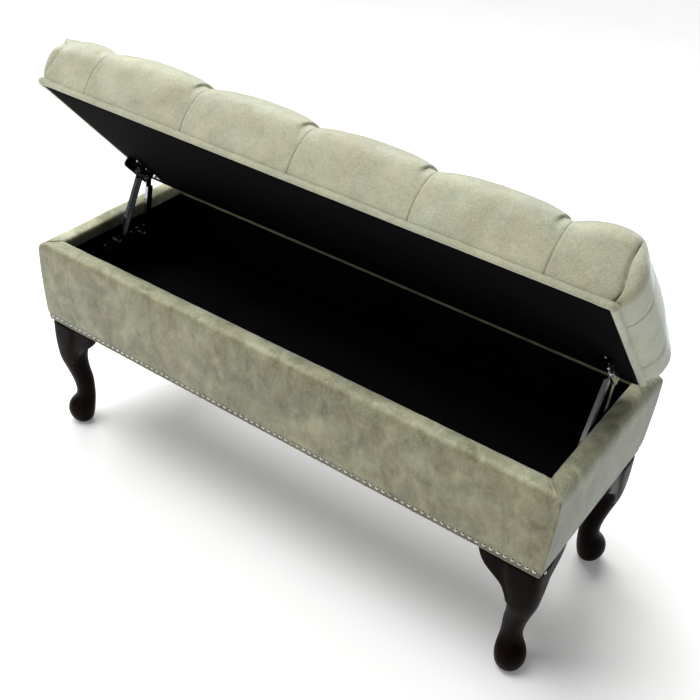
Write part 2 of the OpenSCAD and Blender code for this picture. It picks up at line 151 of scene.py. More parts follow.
def joined(*runs):
    """Runs of places that share their ends, as one run."""
    return np.concatenate([runs[0]] + [r[1:] for r in runs[1:]])


# ---------- materials ----------


class Nodes:
    """Short calls for building a node tree."""

    def __init__(self, name):
        self.material = bpy.data.materials.new(name)
        self.material.use_nodes = True
        self.tree = self.material.node_tree
        self.shader = self.tree.nodes["Principled BSDF"]
        self.coordinates = self.tree.nodes.new("ShaderNodeTexCoord")
        self.place = self.coordinates.outputs["Object"]

    def new(self, kind, inputs=(), **settings):
        node = self.tree.nodes.new("ShaderNode" + kind)
        for key, value in settings.items():
            setattr(node, key, value)
        for key, value in dict(inputs).items():
            self.put(node.inputs[key], value)
        return node

    def put(self, socket, value):
        if isinstance(value, bpy.types.NodeSocket):
            self.tree.links.new(value, socket)
        else:
            socket.default_value = value

    def noise(self, scale, detail=3.0, rough=0.5, stretch=(1, 1, 1), distortion=0.0):
        at = self.new("Mapping", {"Vector": self.place, "Scale": stretch}).outputs["Vector"]
        found = self.new("TexNoise", {"Vector": at, "Scale": scale, "Detail": detail,
                                      "Roughness": rough, "Distortion": distortion})
        return found.outputs["Fac"]

    def ramp(self, factor, *stops):
        node = self.new("ValToRGB", {"Fac": factor})
        elements = node.color_ramp.elements
        while len(elements) < len(stops):
            elements.new(0.5)
        for element, (at, colour) in zip(elements, stops):
            element.position = at
            element.color = (*colour, 1) if len(colour) == 3 else colour
        return node.outputs["Color"]

    def math(self, operation, a, b=0.0):
        node = self.new("Math", operation=operation)
        self.put(node.inputs[0], a)
        self.put(node.inputs[1], b)
        return node.outputs[0]

    def mix(self, factor, a, b, blend="MIX"):
        node = self.new("Mix", data_type="RGBA", blend_type=blend)
        self.put(node.inputs[0], factor)
        self.put(node.inputs[6], a)
        self.put(node.inputs[7], b)
        return node.outputs[2]

    def bump(self, height, strength, distance, normal=None):
        inputs = {"Height": height, "Strength": strength, "Distance": distance}
        if normal is not None:
            inputs["Normal"] = normal
        return self.new("Bump", inputs).outputs["Normal"]

    def set(self, **inputs):
        for key, value in inputs.items():
            self.put(self.shader.inputs[key.replace("_", " ")], value)
        return self.material


def grey(value):
    """An opaque neutral colour."""
    return (value, value, value, 1)


def velvet(name, dark, light, spread, grain, hem=None):
    """Cotton velvet: soft shaded patches where the pile lies differently, fine streaks down
    the pile, a faint twill ground and a cool sheen. grain is how strongly the fine pile shows
    against the patches. With a hem, the cloth is painted paler and cooler where it faces
    upwards, a painted highlight, and below the hem's height it is painted darker, a painted
    shade along the bottom edge."""
    n = Nodes(name)
    patches = n.noise(8, 4, 0.6, (1, 1.4, 1), 0.8)
    clouds = n.noise(32, 5, 0.62, (1, 1, 0.7), 0.6)
    streaks = n.noise(150, 3, 0.6, (1, 1, 0.55))
    pile = n.noise(460, 3, 0.65)
    shade = n.math("ADD", n.math("MULTIPLY", patches, 0.28),
                   n.math("MULTIPLY", clouds, 0.60 - grain))
    shade = n.math("ADD", shade, n.math("MULTIPLY", streaks, 0.12))
    shade = n.math("ADD", shade, n.math("MULTIPLY", pile, grain))
    colour = n.ramp(shade, (0.5 - spread, dark), (0.5 + spread, light))
    warm = n.ramp(n.noise(17, 2, 0.5), (0.35, (1.0, 0.975, 0.93)), (0.68, (0.95, 1.0, 0.985)))
    colour = n.mix(1.0, colour, warm, "MULTIPLY")
    if hem is not None:
        # Painted highlight: cloth that faces upwards is painted paler and cooler, as if lit from above.
        facing = n.new("SeparateXYZ", {"Vector": n.coordinates.outputs["Normal"]}).outputs["Z"]
        painted_top_highlight = n.ramp(facing, (0.4, (1, 1, 1)), (0.9, (1.68, 1.78, 1.95)))
        colour = n.mix(1.0, colour, painted_top_highlight, "MULTIPLY")
        # Painted shade: below the hem's height the cloth is painted darker along the box's bottom edge.
        height = n.new("SeparateXYZ", {"Vector": n.place}).outputs["Z"]
        wear_and_painted_shade = n.math("ADD", height, n.math("MULTIPLY", n.noise(260, 3), 5 * MM))
        wear_and_painted_shade = n.math("SUBTRACT", wear_and_painted_shade, hem)
        wear_and_painted_shade = n.ramp(n.math("MULTIPLY", wear_and_painted_shade, 60.0), (0.0, (0.55, 0.54, 0.52)), (1.0, (1, 1, 1)))
        colour = n.mix(1.0, colour, wear_and_painted_shade, "MULTIPLY")
    twill = n.new("TexWave", {"Vector": n.place, "Scale": 420.0, "Distortion": 3.0,
                              "Detail": 2.0, "Detail Scale": 3.0},
                  wave_type="BANDS", bands_direction="DIAGONAL").outputs["Fac"]
    bump = n.bump(pile, 0.45, 0.0008)
    bump = n.bump(twill, 0.15, 0.0004, bump)
    bump = n.bump(streaks, 0.35, 0.0012, bump)
    rough = n.ramp(clouds, (0.3, (0.78,) * 3), (0.7, (0.92,) * 3))
    return n.set(Base_Color=colour, Roughness=rough, Normal=bump, Sheen_Weight=0.9,
                 Sheen_Roughness=0.45, Sheen_Tint=(0.92, 1.0, 1.0, 1), Specular_IOR_Level=0.12)


def black_cloth(name):
    """Black lining cloth, with a fine plain weave and a little lint."""
    n = Nodes(name)
    weave = n.new("TexWave", {"Vector": n.place, "Scale": 600.0, "Distortion": 1.0},
                  wave_type="BANDS", bands_direction="X").outputs["Fac"]
    weft = n.new("TexWave", {"Vector": n.place, "Scale": 600.0, "Distortion": 1.0},
                 wave_type="BANDS", bands_direction="Y").outputs["Fac"]
    lint = n.ramp(n.noise(420, 2, 0.7), (0.70, (0, 0, 0)), (0.78, (1, 1, 1)))
    base = n.ramp(n.noise(14, 4, 0.6), (0.3, (0.0016, 0.0016, 0.002)),
                  (0.75, (0.0036, 0.0036, 0.0042)))
    colour = n.mix(n.math("MULTIPLY", lint, 0.07), base, (0.16, 0.16, 0.17, 1))
    bump = n.bump(n.math("MULTIPLY", weave, weft), 0.25, 0.0005)
    return n.set(Base_Color=colour, Roughness=0.95, Normal=bump, Specular_IOR_Level=0.04)


def polished_mahogany(name):
    """Dark red-brown stained mahogany under a satin lacquer."""
    n = Nodes(name)
    grain = n.noise(26, 8, 0.62, (1, 1, 0.09), 1.2)
    pores = n.noise(420, 3, 0.6, (1, 1, 0.05))
    colour = n.ramp(grain, (0.30, (0.0024, 0.0013, 0.0009)), (0.55, (0.006, 0.0026, 0.0016)),
                    (0.80, (0.014, 0.0052, 0.0032)))
    # In the lacquer this is real wear only: paler rubbed patches.
    wear_and_painted_shade = n.ramp(n.noise(60, 3, 0.6), (0.62, (0, 0, 0)), (0.8, (1, 1, 1)))
    colour = n.mix(n.math("MULTIPLY", wear_and_painted_shade, 0.25), colour, (0.026, 0.010, 0.006, 1))
    rough = n.ramp(n.noise(35, 4, 0.6), (0.3, (0.30,) * 3), (0.75, (0.46,) * 3))
    bump = n.bump(pores, 0.12, 0.0004)
    bump = n.bump(grain, 0.1, 0.001, bump)
    return n.set(Base_Color=colour, Roughness=rough, Normal=bump, Specular_IOR_Level=0.035)


def raw_timber(name):
    """Sawn softwood of the hidden frame."""
    n = Nodes(name)
    grain = n.noise(18, 7, 0.6, (0.12, 1, 1), 0.8)
    fibres = n.noise(500, 2, 0.6, (0.04, 1, 1))
    colour = n.ramp(grain, (0.3, (0.36, 0.22, 0.11)), (0.55, (0.56, 0.38, 0.21)),
                    (0.8, (0.68, 0.50, 0.30)))
    return n.set(Base_Color=colour, Roughness=0.75, Normal=n.bump(fibres, 0.3, 0.0006))


def plated_steel(name, tint, rough_low, rough_high, dirt):
    """Plated steel with faint brushing and smudges."""
    n = Nodes(name)
    brush = n.noise(700, 3, 0.6, (1, 0.06, 0.06))
    smudge = n.noise(45, 5, 0.6)
    colour = n.ramp(smudge, (0.35, tuple(c * dirt for c in tint)), (0.6, tint))
    rough = n.ramp(smudge, (0.3, (rough_high,) * 3), (0.7, (rough_low,) * 3))
    return n.set(Base_Color=colour, Metallic=1.0, Roughness=rough,
                 Normal=n.bump(brush, 0.04, 0.0003))


def twine_fibre(name):
    """Twisted natural fibre."""
    n = Nodes(name)
    twist = n.noise(900, 2, 0.6, (1, 1, 0.3))
    colour = n.ramp(twist, (0.35, (0.46, 0.38, 0.24)), (0.7, (0.74, 0.66, 0.48)))
    return n.set(Base_Color=colour, Roughness=0.9, Normal=n.bump(twist, 0.6, 0.0006))


lid_velvet = velvet("lid_velvet", (0.34, 0.33, 0.235), (0.66, 0.65, 0.49), 0.14, 0.38)
# The box's velvet is a darker, browner copy of the lid's cloth, painted shade for the box's upright sides; its hem
# adds a painted highlight on upward faces and painted shade at the bottom.
box_velvet_painted_shade_and_light = velvet("box_velvet_painted_shade_and_light", (0.135, 0.123, 0.069), (0.41, 0.388, 0.252), 0.115, 0.22,
                    BOX_Z + 7 * MM)
lining = black_cloth("lining")
mahogany = polished_mahogany("mahogany")
timber = raw_timber("timber")
zinc = plated_steel("zinc", (0.50, 0.52, 0.55), 0.08, 0.16, 0.75)
# Bright zinc for the hinges' bevelled edges: a painted highlight along them.
edge_highlight_zinc = plated_steel("edge_highlight_zinc", (0.94, 0.95, 0.96), 0.14, 0.26, 0.85)
nickel = plated_steel("nickel", (0.56, 0.54, 0.48), 0.10, 0.18, 0.6)
twine = twine_fibre("twine")

# ---------- the buttoned cushion, in the lid's own frame ----------
# Places on it are (x, u), where u runs from the lid's rear edge to its front edge, so y = -u.

DEPTH = 2 * HALF_D
PITCH = 2 * HALF_W / 5
REAR_ROW, MIDDLE_ROW, FRONT_ROW = 90 * MM, HALF_D, DEPTH - 94 * MM
LONG_ROW = [(i - 2) * PITCH for i in range(5)]
SHORT_ROW = [(i - 1.5) * PITCH for i in range(4)]
BUTTON_R = 11 * MM
TUFT = 36 * MM                       # depth of a button below the pillows
SHOULDER = 60 * MM                   # the crowned top ends this far inside the lid's edge

# The cushion's section from the top's edge down to its foot behind the piping and in under
# it: [outwards of the lid's edge at front and rear, the same at the sides, height].
SECTION = np.array([
    (-60, -60, 119), (-44, -40, 117.5), (-27, -17, 113), (-11, -3, 103.5), (0, 6, 90),
    (5.5, 13, 74), (7, 18, 57), (5.5, 17.5, 39), (2, 12, 24), (-2, 4, 13.5),
    (-5.5, -3, 8.5), (-12, -11, 5), (-16, -16, 2.4),
]) * MM
LEFT_SWELL = 0.40                    # the left end is this much of the right one's swell
SETTLE_FRAMES = 6                    # length of the cloth simulation
SETTLE_CAP = 4 * MM                  # the furthest that it may move a point


def pillow(share, power):
    """Cross-section of a pillow: 0 in the crease and 1 at its top."""
    return (1 - (1 - np.clip(share, 0, 1)) ** 2.2) ** power


def inner_pleats():
    """The pleats between two buttons, as pairs of (x, u)."""
    return [
        ((a, row), (b, MIDDLE_ROW))
        for row in (REAR_ROW, FRONT_ROW) for a in LONG_ROW for b in SHORT_ROW
        if abs(a - b) < 0.6 * PITCH
    ]


def inner_depth(x, u, start, end):
    """How far the cover is drawn in by a pleat between two buttons."""
    width, middle = 72 * MM, 0.66
    (x0, u0), (x1, u1) = start, end
    length = math.hypot(x1 - x0, u1 - u0)
    dx, du = (x1 - x0) / length, (u1 - u0) / length
    along = (x - x0) * dx + (u - u0) * du
    past = np.maximum(np.maximum(-along, along - length), 0)
    off = np.hypot((x - x0) * du - (u - u0) * dx, past)
    swell = np.sin(math.pi * np.clip(along / length, 0, 1)) ** 0.8
    return TUFT * (1 - (1 - middle) * swell) * (1 - pillow(off / width, 0.62)), off


def edge_depth(off, along, strength, reach, facet, widths, powers):
    """A pleat that runs from a button out over the cushion's edge. A flat facet lies on its
    side of negative off; the pillow beyond ends more steeply there."""
    facet = facet * smooth(along / (30 * MM))
    left = pillow((-off - facet) / widths[0], powers[0])
    right = pillow(off / widths[1], powers[1])
    raised = np.where(off < 0, left, right)
    depth = TUFT * strength * np.exp(-np.maximum(along, 0) / reach)
    near = np.hypot(off, np.minimum(along, 0))
    return np.where(along < 0, TUFT * (1 - pillow(near / (72 * MM), 0.62)), depth * (1 - raised))


def tuft_depth(x, u, height):
    """How far each point of the cover is drawn in, and how far it is from a crease."""
    depth = np.zeros(len(x))
    crease = np.full(len(x), 1.0)
    for start, end in inner_pleats():
        found, off = inner_depth(x, u, start, end)
        depth = np.maximum(depth, found)
        crease = np.minimum(crease, off)
    foot = 0.25 + 0.75 * smooth((height - 8 * MM) / (60 * MM))
    flat = 18 * MM * smooth((height - 34 * MM) / (56 * MM))
    for bx in LONG_ROW:
        for row, way in ((FRONT_ROW, 1), (REAR_ROW, -1)):
            along, off = (u - row) * way, x - bx
            found = edge_depth(off, along, 1, 62 * MM, flat, (72 * MM, 105 * MM), (0.4, 0.85))
            depth = np.maximum(depth, found * foot)
            crease = np.minimum(crease, np.where(along > 0, np.abs(off), 1.0))
            lip = np.where((off > 0) & (along > 0), np.exp(-off / (9 * MM)), 0)
            depth -= 1.3 * MM * lip * smooth(along / (30 * MM)) * smooth(height / (20 * MM))
    for side in (-1, 1):
        for row, strength in ((REAR_ROW, 1.0), (FRONT_ROW, 0.55)):
            along, off = x * side - LONG_ROW[-1], u - row
            found = edge_depth(off, along, strength, 68 * MM, flat * 0.3, (80 * MM,) * 2,
                               (0.7, 0.7))
            depth = np.maximum(depth, found * foot)
            crease = np.minimum(crease, np.where(along > 0, np.abs(off), 1.0))
    for bx, bu in buttons():
        seat = np.maximum(np.hypot(x - bx, u - bu) - 0.8 * BUTTON_R, 0)
        depth = np.maximum(depth, TUFT * (1 - pillow(seat / (60 * MM), 0.6)))
    return depth + 5 * MM * np.exp(-(crease / (0.9 * MM)) ** 2), crease


def buttons():
    """Where the buttons are, as (x, u)."""
    return ([(x, REAR_ROW) for x in LONG_ROW] + [(x, MIDDLE_ROW) for x in SHORT_ROW]
            + [(x, FRONT_ROW) for x in LONG_ROW])


def crown(x, u):
    """Height of the cushion's top before it is buttoned."""
    across = 1 - (x / (HALF_W - SHOULDER)) ** 4
    along = 1 - ((u - HALF_D) / (HALF_D - SHOULDER)) ** 2
    return SECTION[0][2] + 3.5 * MM * across * along


def ring(columns, rows, a, b, r, wrap, fixed):
    """The cushion's outline at one height, from its front left crease counter-clockwise seen
    from above: points (x, u), and how far each is from the nearest corner's crease. The ends'
    cloth wraps that far round onto the front and rear. Columns and rows inside the fixed
    length stay in line with the top's."""
    points, corner = [], []
    for places, half, out, keep, more in ((columns, a, b, fixed[0], -wrap),
                                          (rows, b, a, fixed[1], wrap)):
        length = side_length(half, r) + more
        outer = np.abs(places) > keep
        stretch = (length - keep) / (places[-1] - keep)
        run = np.where(outer, np.sign(places) * (keep + (np.abs(places) - keep) * stretch), places)
        points.append(np.array(outline_point(run, half, out, r)).T)
        corner.append(length - np.abs(run))
    front, side = points
    far, near = corner
    xs = np.concatenate([front[:-1, 0], side[:-1, 1], front[:0:-1, 0], -side[:0:-1, 1]])
    us = np.concatenate([front[:-1, 1], -side[:-1, 0], -front[:0:-1, 1], -side[:0:-1, 0]])
    gap = np.concatenate([far[:-1], near[:-1], far[:0:-1], near[:0:-1]])
    return xs, us + HALF_D, gap


def cushion_mesh():
    """Points and faces of the cushion, drawn in along its pleats."""
    cells = 30
    end, fixed_x, fixed_u = HALF_W - SHOULDER, LONG_ROW[-1], MIDDLE_ROW - REAR_ROW
    stops = sorted(set(np.round(LONG_ROW + SHORT_ROW, 6)))
    columns = joined(
        spaced(-end, stops[0], 26, 0.6),
        *[spaced(p, q, cells, 0.6) for p, q in zip(stops[:-1], stops[1:])],
        spaced(stops[-1], end, 26, 0.6))
    rows = joined(
        spaced(SHOULDER, REAR_ROW, 14, 0.6), spaced(REAR_ROW, MIDDLE_ROW, cells, 0.55),
        spaced(MIDDLE_ROW, FRONT_ROW, cells, 0.55), spaced(FRONT_ROW, DEPTH - SHOULDER, 14, 0.6))
    nc, nr = len(columns), len(rows)

    u, x = np.meshgrid(rows, columns, indexing="ij")
    base = [np.array([x.ravel(), -u.ravel(), crown(x, u).ravel()]).T]
    flat = [np.array([x.ravel(), u.ravel()]).T]
    corner = [np.full(nr * nc, 1.0)]
    faces = [f[::-1] for f in strip(nr, nc)]

    edge = ([(nr - 1) * nc + c for c in range(nc - 1)]
            + [r * nc + nc - 1 for r in range(nr - 1, 0, -1)]
            + [c for c in range(nc - 1, 0, -1)] + [r * nc for r in range(nr - 1)])
    section = catmull(SECTION, 4)
    run = 0.0
    previous = edge
    count = nr * nc
    for k in range(1, len(section)):
        out_f, out_s, height = section[k]
        run += math.hypot(out_f - section[k - 1][0], height - section[k - 1][2])
        radius = 17 * MM * float(smooth(run / (70 * MM)))
        wrap = 23 * MM * math.sin(math.pi * min(max((height - 6 * MM) / (104 * MM), 0), 1))
        xs, us, gap = ring(columns, rows - HALF_D, HALF_W + out_s, HALF_D + out_f, radius, wrap,
                           (fixed_x, fixed_u))
        n = len(xs)
        reach = smooth((-xs - fixed_x) / (HALF_W - fixed_x))
        square = 15 * MM * smooth((height - 72 * MM) / (30 * MM)) * smooth(run / (30 * MM))
        xs = xs + (max(out_s, 0) * (1 - LEFT_SWELL) - square) * reach
        base.append(np.array([xs, -us, np.full(n, height)]).T)
        side = np.arange(n)
        on_front = side < nc - 1
        on_right = (side >= nc - 1) & (side < nc + nr - 2)
        on_rear = (side >= nc + nr - 2) & (side < 2 * nc + nr - 3)
        on_left = side >= 2 * nc + nr - 3
        fx, fu = xs.copy(), us.copy()
        fu[on_front] = DEPTH - SHOULDER + run
        fu[on_rear] = SHOULDER - run
        fx[on_right] = end + run
        fx[on_left] = -end - run
        flat.append(np.array([fx, fu]).T)
        corner.append(gap)
        here = list(range(count, count + n))
        faces += [(previous[(i + 1) % n], previous[i], here[i], here[(i + 1) % n])
                  for i in range(n)]
        previous = here
        count += n
    faces.append(tuple(reversed(previous)))
    return np.vstack(base), np.vstack(flat), np.concatenate(corner), faces


def outward(points, faces):
    """The normals of a mesh's points."""
    mesh = bpy.data.meshes.new("scratch")
    mesh.from_pydata(points.tolist(), [], faces)
    normals = np.zeros(len(points) * 3)
    mesh.vertices.foreach_get("normal", normals)
    bpy.data.meshes.remove(mesh)
    return normals.reshape(-1, 3)


def corner_depth(points, gap):
    """The crease up each of the cushion's corners, with a few puckers that run into it. The
    left end's are shallow."""
    x, height = points[:, 0], points[:, 2]
    fade = smooth((height - 6 * MM) / (10 * MM)) * (1 - smooth((height - 95 * MM) / (16 * MM)))
    crease = 6.5 * MM * (1 - pillow(gap / (26 * MM), 0.5))
    crease += 6 * MM * np.exp(-(gap / (1.3 * MM)) ** 2)
    puckers = np.zeros(len(points))
    for level, slope, strength in ((44, 0.35, 1.5), (30, 0.55, 0.9), (66, -0.2, 0.8)):
        line = height - level * MM - slope * gap
        puckers += strength * MM * np.exp(-(line / (3.2 * MM)) ** 2) * (
            1 - smooth((gap - 4 * MM) / (26 * MM)))
    sway = 1 + 0.5 * ripple(points, 0.11, 4)
    fade *= np.where(x < 0, 0.3, 1.0)
    return fade * (crease + puckers * sway * (1 - smooth((gap - 40 * MM) / (10 * MM))))


def end_swell(points, u):
    """How far the crests of the end pillows stand out: the right one is domed and falls off
    towards its corner, and the left one is flatter."""
    x = points[:, 0]
    crest = smooth((points[:, 2] - 60 * MM) / (30 * MM))
    outer = smooth((np.abs(u - HALF_D) - (FRONT_ROW - HALF_D)) / (30 * MM))
    crest *= np.where(x > 0, outer, 1.0)
    swell = np.zeros(len(x))
    for centre, width, height in ((475, 36, 6), (533, 16, -4), (-485, 30, -4), (-530, 30, -10)):
        swell += height * MM * np.exp(-((x - centre * MM) / (width * MM)) ** 2)
    return crest * swell


def settle(points, faces, held, frames, cap):
    """Lets the padded cover swell a little against its creases as cloth under pressure. held
    says how firmly each point is sewn down, and cap is the furthest a point may move."""
    mesh = bpy.data.meshes.new("settling")
    mesh.from_pydata(points.tolist(), [], faces)
    obj = bpy.data.objects.new("settling", mesh)
    scene = bpy.context.scene
    scene.collection.objects.link(obj)
    sewn = obj.vertex_groups.new(name="sewn")
    for level in range(11):
        members = np.nonzero(np.round(held * 10) == level)[0].tolist()
        if members:
            sewn.add(members, level / 10, "REPLACE")
    cloth = obj.modifiers.new("swell", "CLOTH")
    settings = cloth.settings
    settings.quality, settings.mass = 2, 0.3
    settings.tension_stiffness = settings.compression_stiffness = 20
    settings.shear_stiffness, settings.bending_stiffness = 8, 0.8
    settings.use_pressure, settings.uniform_pressure_force = True, 4
    settings.shrink_min = -0.015
    settings.vertex_group_mass = "sewn"
    settings.effector_weights.gravity = 0
    cloth.collision_settings.use_collision = False
    cloth.point_cache.frame_start, cloth.point_cache.frame_end = 1, frames
    for frame_number in range(1, frames + 1):
        scene.frame_set(frame_number)
    found = obj.evaluated_get(bpy.context.evaluated_depsgraph_get()).to_mesh()
    moved = np.zeros(len(points) * 3)
    found.vertices.foreach_get("co", moved)
    moved = moved.reshape(-1, 3) - points
    bpy.data.objects.remove(obj)
    bpy.data.meshes.remove(mesh)
    scene.frame_set(1)
    length = np.linalg.norm(moved, axis=1)
    if not np.isfinite(length).all():
        return points
    return points + moved * (cap * np.tanh(length / cap) / np.maximum(length, 1e-9))[:, None]


def make_cushion():
    """The whole cushion. Its top settles as cloth, and its sides, pleats and seams hold."""
    base, flat, gap, faces = cushion_mesh()
    normals = outward(base, faces)
    depth, crease = tuft_depth(flat[:, 0], flat[:, 1], base[:, 2])
    depth += corner_depth(base, gap)
    depth -= end_swell(base, flat[:, 1])
    soft = smooth((base[:, 2] - 12 * MM) / (20 * MM))
    depth += 0.9 * MM * soft * ripple(base, 0.07, 1) + 0.35 * MM * soft * ripple(base, 0.022, 2)
    points = base - normals * depth[:, None]
    crest = smooth((base[:, 2] - 80 * MM) / (22 * MM))
    crest *= smooth((flat[:, 1] - FRONT_ROW - 4 * MM) / (26 * MM))
    for bx in LONG_ROW[1:]:                  # pillows lean over the front pleats' facets
        past = bx - 17.5 * MM - base[:, 0]
        points[:, 0] += 8 * MM * crest * smooth(past / (3 * MM)) * np.exp(
            -np.maximum(past, 0) / (15 * MM))
    under = base[:, 2] < 9 * MM              # the foot stays tucked behind the piping
    points[under] = base[under]
    seat = np.min([np.hypot(flat[:, 0] - x, flat[:, 1] - u) for x, u in buttons()], axis=0)
    held = np.maximum.reduce([
        np.exp(-(crease / (7 * MM)) ** 2), np.exp(-(gap / (7 * MM)) ** 2),
        1 - smooth((seat - 10 * MM) / (8 * MM)),
        1 - smooth((base[:, 2] - 84 * MM) / (20 * MM))])
    points = settle(points, faces, held, SETTLE_FRAMES, SETTLE_CAP)
    cushion = piece("tufted_cushion", points, faces, "lid", lid_velvet, LID)
    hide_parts("cushion_cover", "foam_pad")
    return cushion


def make_buttons():
    """Covered buttons: a domed shell over a short neck, each a little crooked."""
    section = np.array([(2, -6), (7, -4.5), (9.6, -3), (10.9, -1), (11, 0.6), (10.2, 2.6),
                        (8.2, 4.4), (5.4, 5.7), (2.6, 6.3)]) * MM
    section = catmull(section, 2)
    sides = 32
    points, faces = [], []
    for i, (x, u) in enumerate(buttons()):
        start = len(points)
        tilt = Matrix.Rotation(0.07 * math.sin(i * 2.4), 3, "X") @ Matrix.Rotation(
            0.07 * math.cos(i * 1.7), 3, "Y")
        centre = Vector((x, -u, float(crown(np.array(x), np.array(u))) - TUFT + 1 * MM))
        for r, z in section:
            for k in range(sides):
                a = 2 * math.pi * k / sides
                gather = 1 + 0.012 * math.sin(9 * a + i) * (z < 2 * MM)
                points.append(centre + tilt @ Vector((r * gather * math.cos(a),
                                                      r * gather * math.sin(a), z)))
        points.append(centre + tilt @ Vector((0, 0, section[-1][1] + 0.15 * MM)))
        top, last = len(points) - 1, start + (len(section) - 1) * sides
        faces += strip(len(section), sides, start, wrap=True)
        faces += [(last + k, last + (k + 1) % sides, top) for k in range(sides)]
        faces.append(tuple(start + k for k in reversed(range(sides))))
    made = piece("covered_buttons", points, faces, "lid", lid_velvet, LID)
    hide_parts("cushion_buttons")
    return made


def make_ties():
    """Two-ply twine from each button down to the board."""
    sides, turns, r = 10, 9, 1.1 * MM
    board_top = 16.5 * MM
    points, faces = [], []
    for x, u in buttons():
        start = len(points)
        top = float(crown(np.array(x), np.array(u))) - TUFT - 3 * MM
        rows = 40
        for j in range(rows):
            z = board_top + (top - board_top) * j / (rows - 1)
            for k in range(sides):
                a = 2 * math.pi * k / sides
                ply = r * (0.72 + 0.28 * abs(math.cos(a - math.pi * turns * j / rows)))
                points.append((x + ply * math.cos(a), -u + ply * math.sin(a), z))
        faces += strip(rows, sides, start, wrap=True)
        faces.append(tuple(start + k for k in reversed(range(sides))))
        faces.append(tuple(start + (rows - 1) * sides + k for k in range(sides)))
    made = piece("button_twines", points, faces, "lid", twine, LID)
    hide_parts("button_ties")
    return made


def make_piping():
    """Covered cord round the lid's lower edge. The cover bunches a little at the corners."""
    r, z, bend = 5.3 * MM, 5.8 * MM, 4.5 * MM
    a, b = HALF_W - 5.5 * MM, HALF_D - 5.5 * MM
    sides, step = 14, 4 * MM
    path, tangents, corner = [], [], []
    straight = (a - bend, b - bend)
    for quarter in range(4):
        turn = Matrix.Rotation(quarter * math.pi / 2, 3, "Z")
        along, across = (straight if quarter % 2 == 0 else straight[::-1])
        count = int(2 * along / step)
        for i in range(count):
            t = -along + 2 * along * i / count
            path.append(turn @ Vector((t, -across - bend, 0)))
            tangents.append(turn @ Vector((1, 0, 0)))
            corner.append(max(0.0, along - abs(t)))
        for i in range(8):
            q = i / 8 * math.pi / 2
            path.append(turn @ Vector((along + bend * math.sin(q),
                                       -across - bend * math.cos(q), 0)))
            tangents.append(turn @ Vector((math.cos(q), math.sin(q), 0)))
            corner.append(0.0)
    points = []
    up = Vector((0, 0, 1))
    wobble = ripple(path, 0.045, 7)
    lumps = ripple(path, 0.012, 8)
    for p, t, gap, w, lump in zip(path, tangents, corner, wobble, lumps):
        side = t.cross(up)
        bunch = math.exp(-(gap / (16 * MM)) ** 2)
        thick = r * (1 + 0.05 * w + bunch * (0.14 + 0.16 * lump))
        push = 0.5 * MM * w + 1.5 * MM * math.exp(-(gap / (8 * MM)) ** 2)
        centre = p + up * (z + 0.35 * MM * w) + Vector((0, -HALF_D, 0)) + side * push
        for k in range(sides):
            q = 2 * math.pi * k / sides
            points.append(centre + side * thick * math.cos(q) + up * thick * math.sin(q))
    n = len(path)
    faces = strip(n, sides, 0, wrap=True)
    faces += [((n - 1) * sides + k, (n - 1) * sides + (k + 1) % sides, (k + 1) % sides, k)
              for k in range(sides)]
    faces = [f[::-1] for f in faces]
    made = piece("piping_cord", points, faces, "lid", lid_velvet, LID)
    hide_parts("lid_piping")
    return made


make_cushion()
make_buttons()
make_ties()
make_piping()

# ---------- the box's velvet sides ----------

NAIL_Z = 11 * MM                     # the row of nails above the box's underside
NAIL_PITCH = 12.4 * MM
# Section of a side, from its tucked edge under the board, up its face, over the rim and down
# the inside: [outwards of the box line, height above the underside].
SIDE_SECTION = [
    (-26, 0.35), (-14, 0.25), (-4, 0.25), (-1.4, 1.0), (-0.5, 3), (-0.3, 7), (-0.5, 11),
    (0.3, 15.5), (1.0, 22), (1.2, 40), (1.3, 70), (1.4, 100), (1.3, 130), (1.1, 148),
    (0.4, 156), (-0.8, 161.5), (-3, 165.8), (-6.5, 168.6), (-11.5, 169.9), (-17, 170.1),
    (-23, 169.9), (-27.6, 168.7), (-30.6, 166), (-32, 161.5), (-32.2, 155), (-32, 147.5),
    (-31, 145.6), (-28.4, 146),
]
# How far the ends and the long sides swell at heights above the underside.
END_SWELL = ((0, 20, 60, 110, 150, 162, 170), (-2.2, -0.4, 1.6, 3.2, 3.6, 2.4, 0))
LONG_SWELL = ((0, 20, 80, 150, 170), (0, 0.1, 0.7, 0.3, 0))


